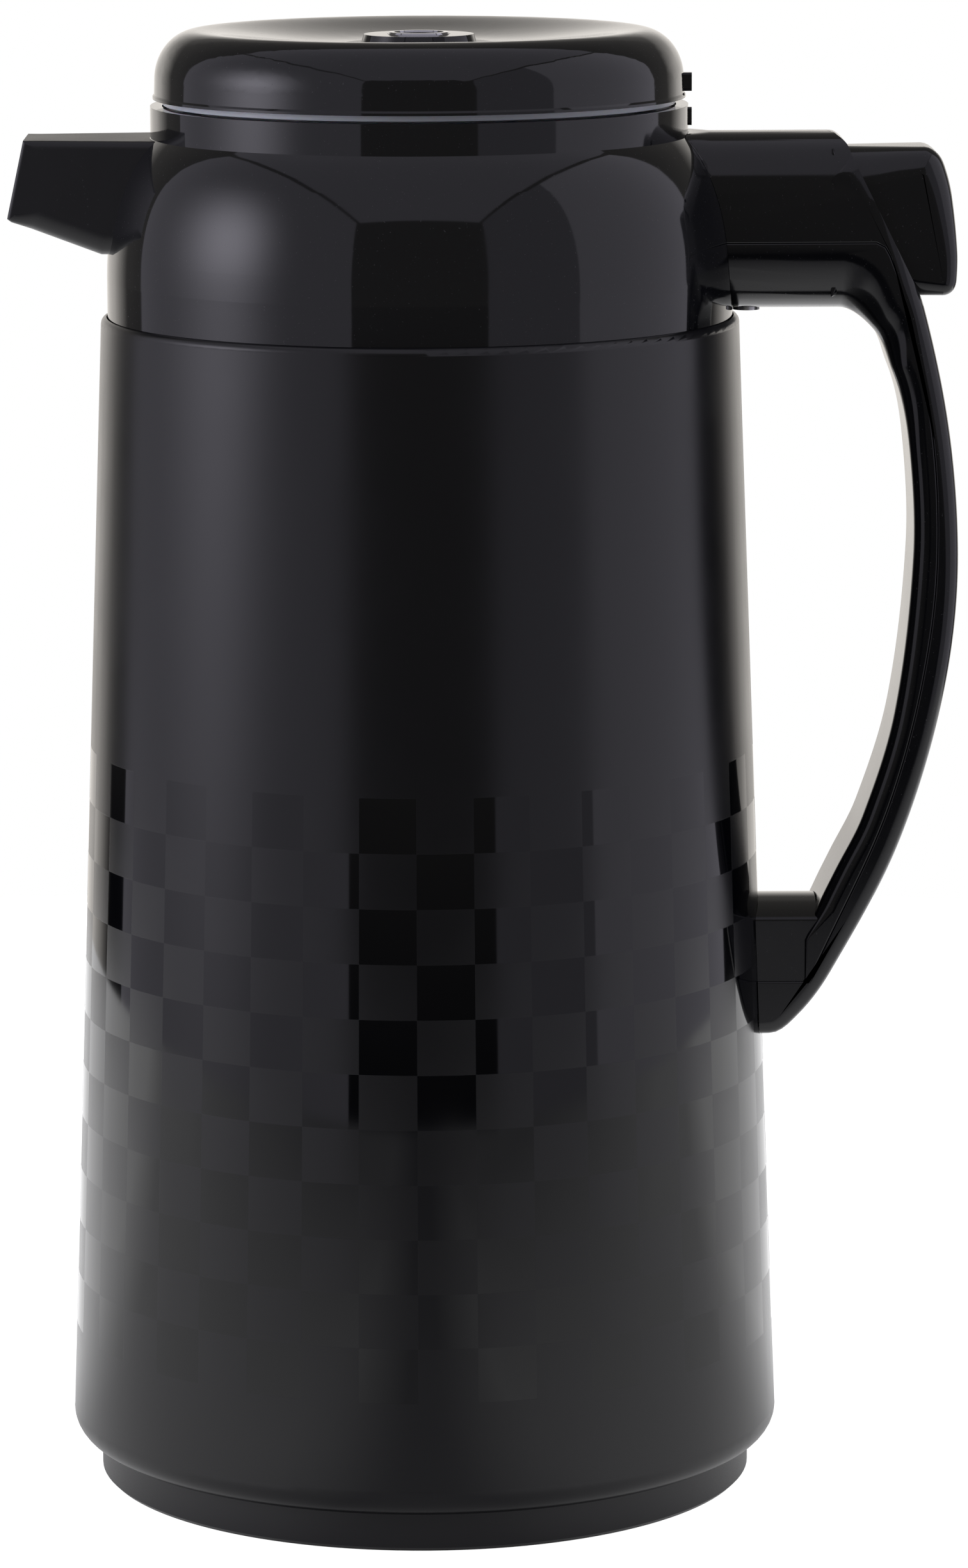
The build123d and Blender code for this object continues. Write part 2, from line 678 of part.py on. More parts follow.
def main():
    os.makedirs("parts", exist_ok=True)
    handle = handle_solid() - button_housing_hollow() - rod_along_x(5.05, 50, 70) - screw_holes()
    pieces = {
        "base_ring": base_ring(),
        "base_cap": base_cap(),
        "bottom_cushion": bottom_cushion(),
        "steel_jacket": steel_jacket(),
        "jacket_gasket": jacket_gasket(),
        "glass_outer": glass_outer(),
        "glass_inner": glass_inner(),
        "liner_pads": liner_pads(),
        "neck_packing": neck_packing(),
        "mouth_ring": mouth_ring(),
        "shoulder": shoulder(spout_block()),
        "spout": spout(),
        "port_seal": port_seal(),
        "handle_outer": handle_outer(handle),
        "handle_inner": handle_inner(handle),
        "lower_bracket": lower_bracket(),
        "bracket_plate": bracket_plate(),
        "handle_screws": handle_screws(),
        "rod_bush": rod_bush(),
        "rod_grommet": rod_grommet(),
        "pour_button": pour_button(),
        "push_rod": push_rod(),
        "button_pin": button_pin(),
        "button_spring": button_spring(),
        "lid_cover": lid_cover(),
        "lid_hub": lid_hub(),
        "stopper_body": stopper_body(),
        "stopper_cover": stopper_cover(),
        "lid_screws": lid_screws(),
        "drum_seal": drum_seal(),
        "stopper_seal": stopper_seal(),
        "stem_guide": stem_guide(),
        "cam_slider": cam_slider(),
        "valve_stem": valve_stem(),
        "stem_pin": stem_pin(),
        "valve_disc": valve_disc(),
        "valve_washer": valve_washer(),
        "valve_spring": valve_spring(),
    }
    for name, shape in pieces.items():
        write(name, shape)


main()
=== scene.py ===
import json
import math

import bpy
import bmesh
from mathutils import Matrix, Vector


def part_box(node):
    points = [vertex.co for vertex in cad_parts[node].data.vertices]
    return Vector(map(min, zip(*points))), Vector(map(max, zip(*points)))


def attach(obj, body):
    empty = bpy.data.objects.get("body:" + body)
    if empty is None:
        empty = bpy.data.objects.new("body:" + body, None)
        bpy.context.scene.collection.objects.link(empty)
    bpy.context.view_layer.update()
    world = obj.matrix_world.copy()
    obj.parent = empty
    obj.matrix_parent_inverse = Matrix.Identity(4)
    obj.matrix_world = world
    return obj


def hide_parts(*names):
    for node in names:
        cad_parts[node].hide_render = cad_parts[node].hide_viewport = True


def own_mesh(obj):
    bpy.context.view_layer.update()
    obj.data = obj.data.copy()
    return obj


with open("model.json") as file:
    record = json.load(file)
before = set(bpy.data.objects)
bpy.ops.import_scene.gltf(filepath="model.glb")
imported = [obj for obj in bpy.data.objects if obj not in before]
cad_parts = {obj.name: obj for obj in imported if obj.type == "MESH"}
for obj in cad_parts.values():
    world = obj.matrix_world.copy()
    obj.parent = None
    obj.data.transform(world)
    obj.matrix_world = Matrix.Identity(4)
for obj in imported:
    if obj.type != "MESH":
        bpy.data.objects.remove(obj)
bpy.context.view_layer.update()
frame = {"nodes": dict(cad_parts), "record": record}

NODES = frame["nodes"]
MM = 0.001


# Node helpers

NOISE_LOW = 0.3      # noise seldom goes below this
NOISE_HIGH = 0.7     # or above this
FIRST_COLOUR = 6     # sockets of a colour mix, which share their names with others
SECOND_COLOUR = 7
MIXED_COLOUR = 2     # and its output


class Nodes:
    """A node tree whose nodes are made and linked by short calls."""

    def __init__(self, tree):
        self.tree = tree

    def node(self, kind, **settings):
        made = self.tree.nodes.new(kind)
        for key, value in settings.items():
            setattr(made, key, value)
        return made

    def link(self, source, target):
        self.tree.links.new(source, target)

    def plug(self, value, target):
        """Sets a socket to a constant or links another socket to it."""
        if isinstance(value, bpy.types.NodeSocket):
            self.link(value, target)
        else:
            target.default_value = value

    def math(self, operation, first, second=0.0):
        made = self.node("ShaderNodeMath", operation=operation)
        self.plug(first, made.inputs[0])
        self.plug(second, made.inputs[1])
        return made.outputs[0]

    def between(self, value, low, high, out_low, out_high):
        """Maps a value from one range to another, clamped."""
        made = self.node("ShaderNodeMapRange")
        for socket, number in zip(made.inputs, (value, low, high, out_low, out_high)):
            self.plug(number, socket)
        return made.outputs[0]

    def mix_colour(self, factor, first, second):
        made = self.node("ShaderNodeMix", data_type="RGBA")
        self.plug(factor, made.inputs["Factor"])
        self.plug(first, made.inputs[FIRST_COLOUR])
        self.plug(second, made.inputs[SECOND_COLOUR])
        return made.outputs[MIXED_COLOUR]


class Shader(Nodes):
    """A material with the nodes for noise, colour, roughness and bump on its one surface."""

    def __init__(self, name, **settings):
        self.material = bpy.data.materials.new(name)
        self.material.use_nodes = True
        super().__init__(self.material.node_tree)
        self.surface = self.tree.nodes["Principled BSDF"]
        for socket, value in settings.items():
            self.surface.inputs[socket.replace("_", " ")].default_value = value

    def place(self):
        """Position on the object in metres, whole and as its three coordinates."""
        whole = self.node("ShaderNodeTexCoord").outputs["Object"]
        split = self.node("ShaderNodeSeparateXYZ")
        self.link(whole, split.inputs[0])
        return whole, split.outputs

    def noise(self, scale, detail, roughness=0.5):
        made = self.node("ShaderNodeTexNoise")
        made.inputs["Scale"].default_value = scale
        made.inputs["Detail"].default_value = detail
        made.inputs["Roughness"].default_value = roughness
        self.link(self.place()[0], made.inputs["Vector"])
        return made.outputs["Fac"]

    def tones(self, scale, detail, first, second):
        """Base colour that drifts between two tones."""
        drift = self.noise(scale, detail)
        self.link(self.mix_colour(drift, first, second), self.surface.inputs["Base Color"])

    def sheen(self, scale, detail, low, high):
        """Roughness that drifts between two values."""
        drift = self.noise(scale, detail)
        self.link(self.between(drift, NOISE_LOW, NOISE_HIGH, low, high), self.surface.inputs["Roughness"])

    def bump(self, height, distance, strength):
        made = self.node("ShaderNodeBump")
        made.inputs["Distance"].default_value = distance
        made.inputs["Strength"].default_value = strength
        self.link(height, made.inputs["Height"])
        self.link(made.outputs[0], self.surface.inputs["Normal"])


# Materials

def gloss_black(name, polish):
    """Gloss plastic with faint ripple, wiping marks and a little dust; polish is its least roughness."""
    shader = Shader(name, IOR=1.5)
    wiped = shader.between(shader.noise(55, 3, 0.6), NOISE_LOW, 0.75, polish, polish + 0.04)
    dust = shader.between(shader.noise(2600, 1), 0.735, 0.76, 0, 1)
    roughness = shader.math("ADD", wiped, shader.math("MULTIPLY", dust, 0.25))
    colour = shader.mix_colour(dust, (0.0045, 0.0048, 0.006, 1), (0.03, 0.03, 0.032, 1))
    shader.link(colour, shader.surface.inputs["Base Color"])
    shader.link(roughness, shader.surface.inputs["Roughness"])
    shader.bump(shader.noise(90, 1), 0.00004, 0.35)
    return shader.material


def satin_black():
    """Fine-grained satin plastic."""
    shader = Shader("black_satin", IOR=1.5)
    grain = shader.noise(5200, 2)
    shader.tones(40, 3, (0.008, 0.008, 0.0095, 1), (0.012, 0.012, 0.0135, 1))
    shader.link(shader.between(grain, NOISE_LOW, NOISE_HIGH, 0.3, 0.4), shader.surface.inputs["Roughness"])
    shader.bump(grain, 0.00002, 0.5)
    return shader.material


def jacket_paint():
    """Satin enamel with a printed band of glossy squares in a chessboard."""
    columns = 38
    rows = 11
    band_top = 0.1512
    row_height = 0.01088
    seam_turn = math.radians(-0.97)
    shader = Shader("jacket_paint", IOR=1.5)
    _, (x, y, z) = shader.place()
    turn = shader.math("ARCTAN2", x, shader.math("MULTIPLY", y, -1.0))
    column = shader.math("MULTIPLY", shader.math("SUBTRACT", turn, seam_turn), columns / math.tau)
    row = shader.math("DIVIDE", shader.math("SUBTRACT", band_top, z), row_height)
    total = shader.math("ADD", shader.math("FLOOR", column), shader.math("FLOOR", row))
    odd = shader.math("FLOORED_MODULO", total, 2.0)
    below_top = shader.math("GREATER_THAN", row, 0.0)
    above_foot = shader.math("LESS_THAN", row, float(rows))
    printed = shader.math("MULTIPLY", odd, shader.math("MULTIPLY", below_top, above_foot))
    wipe = shader.noise(30, 3, 0.6)
    roughness = shader.node("ShaderNodeMix", data_type="FLOAT")
    shader.link(printed, roughness.inputs["Factor"])
    shader.link(shader.between(wipe, NOISE_LOW, NOISE_HIGH, 0.21, 0.27), roughness.inputs["A"])
    shader.link(shader.between(wipe, NOISE_LOW, NOISE_HIGH, 0.04, 0.07), roughness.inputs["B"])
    shader.link(roughness.outputs[0], shader.surface.inputs["Roughness"])
    colour = shader.mix_colour(printed, (0.0032, 0.0034, 0.0046, 1), (0.001, 0.0012, 0.002, 1))
    shader.link(colour, shader.surface.inputs["Base Color"])
    plain = shader.math("SUBTRACT", 1.0, printed)
    shader.bump(shader.math("MULTIPLY", shader.noise(3800, 2), plain), 0.000012, 0.4)
    return shader.material


def grey_plastic():
    """Pale food-grade plastic with a soft sheen."""
    shader = Shader("grey_plastic", IOR=1.46, Subsurface_Weight=0.15, Subsurface_Scale=0.003)
    shader.tones(60, 3, (0.82, 0.85, 0.9, 1), (0.88, 0.9, 0.94, 1))
    shader.sheen(300, 2, 0.28, 0.38)
    shader.bump(shader.noise(2500, 2), 0.00002, 0.3)
    return shader.material


def bright_steel():
    """Drawn stainless wire and rod."""
    shader = Shader("steel", Metallic=1.0)
    shader.tones(220, 3, (0.5, 0.5, 0.51, 1), (0.64, 0.64, 0.65, 1))
    shader.sheen(900, 3, 0.2, 0.34)
    shader.bump(shader.noise(2400, 2), 0.00001, 0.4)
    return shader.material


def hub_chrome():
    """Plated ring with faint polishing marks."""
    shader = Shader("hub_chrome", Metallic=1.0)
    shader.tones(400, 2, (0.4, 0.4, 0.42, 1), (0.5, 0.5, 0.52, 1))
    shader.sheen(1200, 2, 0.06, 0.14)
    return shader.material


def silvered_glass():
    """Glass with a silver coating behind it, slightly uneven."""
    shader = Shader("silvered_glass", Metallic=1.0)
    shader.tones(24, 4, (0.62, 0.63, 0.66, 1), (0.78, 0.79, 0.81, 1))
    shader.sheen(70, 3, 0.03, 0.08)
    shader.bump(shader.noise(18, 2), 0.0004, 0.2)
    return shader.material


def silicone():
    """Milky soft silicone."""
    shader = Shader("white_silicone", IOR=1.41, Subsurface_Weight=0.3, Subsurface_Scale=0.004)
    shader.tones(90, 2, (0.66, 0.66, 0.64, 1), (0.74, 0.74, 0.72, 1))
    shader.sheen(500, 2, 0.42, 0.55)
    return shader.material


def dark_rubber():
    """Black rubber with a dusty bloom."""
    shader = Shader("dark_rubber", IOR=1.52)
    shader.tones(120, 4, (0.012, 0.012, 0.012, 1), (0.022, 0.022, 0.021, 1))
    shader.sheen(800, 2, 0.6, 0.75)
    shader.bump(shader.noise(3000, 2), 0.00003, 0.5)
    return shader.material


def dress(piece, material):
    """Gives a piece one material and no other."""
    piece.data.materials.clear()
    piece.data.materials.append(material)


def paint_nodes():
    """Gives every CAD node the material of its slot."""
    finishes = {
        "black_gloss": gloss_black("black_gloss", 0.035),
        "black_satin": satin_black(),
        "jacket_paint": jacket_paint(),
        "grey_plastic": grey_plastic(),
        "steel": bright_steel(),
        "hub_chrome": hub_chrome(),
        "silvered_glass": silvered_glass(),
        "white_silicone": silicone(),
        "dark_rubber": dark_rubber(),
    }
    for entry in frame["record"]["subparts"]:
        dress(NODES[entry["node"]], finishes[entry["material_slot"]])
    return finishes


# Outlines and solids, in mm

LEDGE = 0.35          # height of the fine ledge beside the handle's finger side
LEDGE_FOOT = 0.25     # distance of the ledge's foot from the rounding
LEDGE_HEAD = 0.6      # distance of the ledge's head from the rounding


def curve_through(points, start=None, end=None, step=1.6):
    """Points along a smooth curve through the given ones, with end directions where they are given."""
    knots = [Vector(p) for p in points]
    slopes = []
    for i in range(len(knots)):
        before = knots[max(i - 1, 0)]
        after = knots[min(i + 1, len(knots) - 1)]
        slopes.append((after - before).normalized())
    if start:
        slopes[0] = Vector(start).normalized()
    if end:
        slopes[-1] = Vector(end).normalized()
    made = []
    for i in range(len(knots) - 1):
        reach = (knots[i + 1] - knots[i]).length
        count = max(2, round(reach / step))
        for j in range(count):
            t = j / count
            blend = (2 * t ** 3 - 3 * t ** 2 + 1, t ** 3 - 2 * t ** 2 + t,
                     3 * t ** 2 - 2 * t ** 3, t ** 3 - t ** 2)
            made.append(knots[i] * blend[0] + slopes[i] * reach * blend[1]
                        + knots[i + 1] * blend[2] + slopes[i + 1] * reach * blend[3])
    made.append(knots[-1])
    return [(p.x, p.y) for p in made]


def straight(*corners):
    """Corner points of straight runs, each with a point close before it that keeps its rounding local."""
    close = 1.0
    made = [corners[0]]
    for first, last in zip(corners, corners[1:]):
        share = max(0.5, 1 - close / math.dist(first, last))
        made.append((first[0] + (last[0] - first[0]) * share, first[1] + (last[1] - first[1]) * share))
        made.append(last)
    return made


def outline_of(stretches):
    """Joins stretches (points, first radius, last radius, first ledge, last ledge) into a closed outline."""
    outline = []
    for points, first, last, ledge_first, ledge_last in stretches:
        whole = sum(math.dist(a, b) for a, b in zip(points, points[1:]))
        done = 0.0
        for point, following in zip(points, points[1:]):
            t = done / whole
            t = t * t * (3 - 2 * t)
            outline.append((point, first + (last - first) * t, ledge_first + (ledge_last - ledge_first) * t))
            done += math.dist(point, following)
    return outline


def inward_normals(points):
    """Unit normals that point into a closed outline, lengthened at its corners up to a limit."""
    least_share = 0.6
    count = len(points)
    area = sum(points[i - 1][0] * points[i][1] - points[i][0] * points[i - 1][1] for i in range(count))
    sign = 1 if area > 0 else -1
    normals = []
    for i in range(count):
        here = Vector(points[i])
        first = (here - Vector(points[i - 1])).normalized()
        second = (Vector(points[(i + 1) % count]) - here).normalized()
        normal = Vector((-(first.y + second.y), first.x + second.x)) * sign
        normal.normalize()
        across = Vector((-first.y, first.x)) * sign
        normals.append(normal / max(least_share, normal.dot(across)))
    return normals


def skin(bm, rings):
    """Faces from ring to ring and over both ends."""
    count = len(rings[0])
    for first, second in zip(rings, rings[1:]):
        for i in range(count):
            j = (i + 1) % count
            bm.faces.new((first[i], first[j], second[j], second[i]))
    bm.faces.new(list(reversed(rings[0])))
    bm.faces.new(rings[-1])


def solid_from(name, bm):
    """New object in the scene from a closed bmesh, which is freed."""
    bmesh.ops.recalc_face_normals(bm, faces=bm.faces)
    mesh = bpy.data.meshes.new(name)
    bm.to_mesh(mesh)
    bm.free()
    solid = bpy.data.objects.new(name, mesh)
    bpy.context.scene.collection.objects.link(solid)
    return solid


def rounded_slab(name, outline, half_width, arc_steps=7):
    """Slab across Y from an X-Z outline, its long edges rounded by each point's own radius.

    A point's ledge is the height of the fine ledge where its rounding meets the flat side."""
    doubles = 1e-6
    normals = inward_normals([entry[0] for entry in outline])
    side = []
    for ring in range(arc_steps + 1):
        angle = math.pi / 2 * ring / arc_steps
        side.append((1 - math.cos(angle), 1 - math.sin(angle), 0.0, 1.0))
    side.append((1.0, 0.0, LEDGE_FOOT, 1.0))
    side.append((1.0, 0.0, LEDGE_HEAD, 0.0))
    bm = bmesh.new()
    rings = []
    for way in (1, -1):
        for offset, drop, further, stepped in (reversed(side) if way == 1 else side):
            ring = []
            for (point, radius, ledge), normal in zip(outline, normals):
                reach = radius * offset + further * min(1.0, ledge / LEDGE)
                low = radius * drop + ledge * stepped
                ring.append(bm.verts.new(((point[0] + normal.x * reach) * MM, -way * (half_width - low) * MM,
                                          (point[1] + normal.y * reach) * MM)))
            rings.append(ring)
    skin(bm, rings)
    bmesh.ops.remove_doubles(bm, verts=bm.verts, dist=doubles)
    return solid_from(name, bm)


def turned_solid(name, wall, steps=160):
    """Solid of revolution about Z from the (radius, height) points of its wall, closed by flat ends."""
    bm = bmesh.new()
    rings = []
    for radius, height in wall:
        rings.append([bm.verts.new((radius * MM * math.cos(math.tau * i / steps),
                                    radius * MM * math.sin(math.tau * i / steps), height * MM))
                      for i in range(steps)])
    skin(bm, rings)
    return solid_from(name, bm)


def cut(piece, tool):
    """Cuts one closed mesh with another and keeps the result."""
    modifier = piece.modifiers.new("cut", "BOOLEAN")
    modifier.operation = "DIFFERENCE"
    modifier.solver = "EXACT"
    modifier.object = tool
    bpy.context.view_layer.update()
    evaluated = piece.evaluated_get(bpy.context.evaluated_depsgraph_get())
    result = bpy.data.meshes.new_from_object(evaluated)
    piece.modifiers.clear()
    piece.data = result


def smooth_by_angle(piece, degrees=32):
    """Smooth shading, with edges sharper than the angle kept crisp."""
    doubles = 2e-6
    limit = math.radians(degrees)
    bm = bmesh.new()
    bm.from_mesh(piece.data)
    bmesh.ops.remove_doubles(bm, verts=bm.verts, dist=doubles)
    for face in bm.faces:
        face.smooth = True
    for edge in bm.edges:
        edge.smooth = len(edge.link_faces) == 2 and edge.calc_face_angle(0) < limit
    bm.to_mesh(piece.data)
    bm.free()
    weighted = piece.modifiers.new("weighted", "WEIGHTED_NORMAL")
    weighted.keep_sharp = True


# Handle

ROOT_X = 50          # start of both mouldings, inside the shoulder
ROOT_ROUND = 2       # rounding there
ARM_X = 58           # from here on the arm's rounding has its full size
BRACKET_X = 77.42    # end of the lower bracket
SEAM_ROUND = 0.35    # rounding beside the parting line


def seam_line(bracket_low):
    """Parting line of the handle, from the bracket up the grip and along under the arm."""
    rise = curve_through([(78.3, bracket_low), (94.4, 140), (102.4, 175), (103.2, 205.3), (98.6, 236.5),
                          (93.6, 250.6)], start=(0.42, 1), end=(-0.38, 1))
    return rise + [(92.6, 252.4), (90.9, 253.3)]


def body_tool():
    """The jacket's cone and the shoulder's dome as one solid that the handle hugs."""
    gap = 0.05
    steps = 16
    cone_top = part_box("steel_jacket")[1].z / MM
    shoulder_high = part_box("shoulder")[1]
    wall = shoulder_high.x / MM
    roof = shoulder_high.z / MM + 20
    foot = 60
    neck = 53.8
    hull = [(wall, 246), (wall, 258.5), (59.4, 269.1), (neck, 274.1)]    # control points of the dome's curve
    dome = []
    for i in range(steps + 1):
        t = i / steps
        shares = ((1 - t) ** 3, 3 * t * (1 - t) ** 2, 3 * t * t * (1 - t), t ** 3)
        radius = sum(share * point[0] for share, point in zip(shares, hull))
        dome.append((radius + gap, sum(share * point[1] for share, point in zip(shares, hull))))
    cone = [(70.7, foot), (64.3, cone_top), (wall + gap, cone_top)]
    return turned_solid("body_tool", cone + dome + [(neck + gap, roof)])


def housing_room():
    """Room for the button inside the arm, open at the back."""
    clear = 0.45
    inside_x = 68
    outside_x = 130
    corner_round = 7.5
    low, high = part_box("pour_button")
    bottom = low.z / MM - clear
    top = high.z / MM + clear
    corners = [(inside_x, bottom), (outside_x, bottom), (outside_x, top), (inside_x, top), (inside_x, bottom)]
    outline = outline_of([(corners, corner_round, corner_round, 0, 0)])
    return rounded_slab("housing_room", outline, high.y / MM + clear)


def mouth_tool(arm_top):
    """Everything beyond the sloping mouth of the arm."""
    lip_x = 81.6
    slope_top = (86.2, 270.0)
    edge = 0.5
    back = 140
    floor = 233
    roof = 290
    half_width = 30
    rise = (lip_x, arm_top + 3)
    corner = curve_through([(lip_x, arm_top), (84.8, 273.0), slope_top], (1, 0), (0.46, -0.89), 0.5)
    outline = outline_of([
        ([rise, (lip_x, arm_top)], edge, edge, 0, 0),
        (corner, edge, edge, 0, 0),
        ([slope_top, (99.9, 242.3), (103, floor), (back, floor), (back, roof), (lip_x, roof), rise],
         edge, edge, 0, 0)])
    return rounded_slab("mouth_tool", outline, half_width)


def inner_outline(seam, seam_z, shelf, bracket_top):
    """Underside of the arm, finger side of the grip, the bracket's end and the parting line."""
    arm_low = 239.4
    arm_round = 12
    bend_round = 7
    turn_round = 4.2
    finger_round = 2.7
    bracket_round = 0.6
    bend_start = (84, arm_low)
    bend = (90.8, 235.4)
    bend_end = (94.5, 227)
    grip_top = (98.0, 210.6)
    bracket_corner = (BRACKET_X, 112)
    return outline_of([
        ([(ROOT_X, arm_low), (ARM_X, arm_low)], ROOT_ROUND, arm_round, 0, 0),
        ([(ARM_X, arm_low), bend_start], arm_round, arm_round, 0, 0),
        (curve_through([bend_start, bend], (1, 0), (0.66, -0.75), 0.8), arm_round, bend_round, 0, 0),
        (curve_through([bend, bend_end], (0.66, -0.75), (0.38, -0.92), 0.8), bend_round, turn_round, 0, 0),
        (curve_through([bend_end, grip_top], (0.38, -0.92), (0.1, -1.0)), turn_round, finger_round, 0, LEDGE),
        (curve_through([grip_top, (98.8, 189.7), (95.3, 158.2), (89.0, 137), (83.6, 126.0),
                        (80.3, bracket_top)], (0.1, -1.0), (-0.4, -0.91)),
         finger_round, finger_round, LEDGE, LEDGE),
        (straight((80.3, bracket_top), bracket_corner), finger_round, bracket_round, LEDGE, 0),
        (straight(bracket_corner, (BRACKET_X, shelf)), bracket_round, SEAM_ROUND, 0, 0),
        (straight((BRACKET_X, shelf), seam[0]), SEAM_ROUND, SEAM_ROUND, 0, 0),
        (seam, SEAM_ROUND, SEAM_ROUND, 0, 0),
        (straight(seam[-1], (ROOT_X, seam_z)), SEAM_ROUND, SEAM_ROUND, 0, 0),
        ([(ROOT_X, seam_z), (ROOT_X, arm_low)], ROOT_ROUND, ROOT_ROUND, 0, 0)])


def outer_outline(seam, seam_z, shelf, arm_top, wrap_low):
    """Top of the arm, palm side of the grip, the foot below the bracket and the parting line."""
    arm_round = 11
    palm_round = 3.4
    foot_round = 2.9
    foot_x = 60
    foot_end_round = 2
    lip_round = 4.5
    arm_end = (86, arm_top)
    palm_top = (93.2, 262)
    foot_end = (70.4, wrap_low)
    return outline_of([
        ([(ROOT_X, arm_top), (ARM_X, arm_top)], ROOT_ROUND, arm_round, 0, 0),
        ([(ARM_X, arm_top), arm_end], arm_round, arm_round, 0, 0),
        (curve_through([arm_end, (90.6, 271), palm_top], (1, 0), (0.42, -1)), arm_round, lip_round, 0, 0),
        (curve_through([palm_top, (104.0, 226.1), (107.9, 192), (105.5, 163.4), (96.5, 131.7),
                        (82.8, 104.9), (76.4, 96.2), foot_end], (0.42, -1), (-1, 0)),
         palm_round, foot_round, 0, 0),
        ([foot_end, (foot_x, wrap_low)], foot_round, foot_round, 0, 0),
        ([(foot_x, wrap_low), (foot_x, shelf)], foot_end_round, SEAM_ROUND, 0, 0),
        (straight((foot_x, shelf), (BRACKET_X, shelf), seam[0]), SEAM_ROUND, SEAM_ROUND, 0, 0),
        (seam, SEAM_ROUND, SEAM_ROUND, 0, 0),
        (straight(seam[-1], (ROOT_X, seam_z)), SEAM_ROUND, SEAM_ROUND, 0, 0),
        ([(ROOT_X, seam_z), (ROOT_X, arm_top)], ROOT_ROUND, ROOT_ROUND, 0, 0)])


def make_handle(material):
    """The two handle mouldings, with the parting line and the fine ledge along the finger side."""
    outer_low, outer_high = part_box("handle_outer")
    arm_top = outer_high.z / MM
    wrap_low = outer_low.z / MM
    half_width = outer_high.y / MM
    seam_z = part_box("handle_inner")[1].z / MM
    bracket_low, bracket_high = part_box("lower_bracket")
    shelf = bracket_low.z / MM
    seam = seam_line(shelf)
    inner = inner_outline(seam, seam_z, shelf, bracket_high.z / MM)
    outer = outer_outline(seam, seam_z, shelf, arm_top, wrap_low)
    body = body_tool()
    room = housing_room()
    mouth = mouth_tool(arm_top)
    for name, outline, tools in (("handle_inner", inner, (body, room)),
                                 ("handle_outer", outer, (body, mouth, room))):
        piece = rounded_slab(name + "_moulding", outline, half_width)
        for tool in tools:
            cut(piece, tool)
        smooth_by_angle(piece)
        dress(piece, material)
        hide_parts(name)
        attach(piece, "pot")
    for tool in (body, room, mouth):
        bpy.data.objects.remove(tool)


# Button, spout and valve spring

def make_button(material):
    """Push button with softly rounded edges and a bowed end, hollow round the rod's boss."""
    low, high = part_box("pour_button")
    bottom = low.z / MM
    top = high.z / MM
    face_x = low.x / MM
    inside_x = face_x + 2.5
    end = high.x / MM - 0.2
    mouth_round = 0.2
    top_round = 8.5
    bow_round = 5.2
    end_round = 2.6
    bottom_round = 7.0
    bow_start = (end - 6.6, top)
    bow_end = (end - 0.1, bottom + 3.2)
    heel_end = (end - 2.9, bottom)
    bow = curve_through([bow_start, (end - 3.7, top - 1.6), (end - 2.1, top - 5.2), (end - 1.0, top - 10.3),
                         (end, top - 20.8), bow_end], (1, 0), (-0.06, -1), 0.8)
    heel = curve_through([bow_end, (end - 0.9, bottom + 0.9), heel_end], (-0.06, -1), (-1, 0), 0.5)
    outline = outline_of([
        (straight((face_x, top), (inside_x, top)), mouth_round, top_round, 0, 0),
        ([(inside_x, top), (end - 12, top), bow_start], top_round, bow_round, 0, 0),
        (bow, bow_round, end_round, 0, 0),
        (heel, end_round, end_round, 0, 0),
        ([heel_end, (end - 8, bottom), (inside_x, bottom)], end_round, bottom_round, 0, 0),
        (straight((inside_x, bottom), (face_x, bottom)), bottom_round, mouth_round, 0, 0),
        ([(face_x, bottom), (face_x, top)], mouth_round, mouth_round, 0, 0)])
    piece = rounded_slab("pour_button_moulding", outline, high.y / MM, arc_steps=9)
    wall = 2.2
    room_round = 5.5
    open_x = face_x - 3
    closed_x = end - 8
    corners = [(open_x, bottom + wall), (closed_x, bottom + wall), (closed_x, top - wall),
               (open_x, top - wall), (open_x, bottom + wall)]
    room_outline = outline_of([(corners, room_round, room_round, 0, 0)])
    room = rounded_slab("button_room", room_outline, high.y / MM - wall)
    cut(piece, room)
    smooth_by_angle(piece)
    dress(piece, material)
    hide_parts("pour_button")
    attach(piece, "button")
    bpy.data.objects.remove(room)


def taper_to_tip(piece, half_width):
    """Narrows a spout slab of this half width towards the tip."""
    tip_x = -82.4
    tip_half_width = 9.2
    flare = 0.135
    for vertex in piece.data.vertices:
        vertex.co.y *= (tip_half_width + (vertex.co.x / MM - tip_x) * flare) / half_width


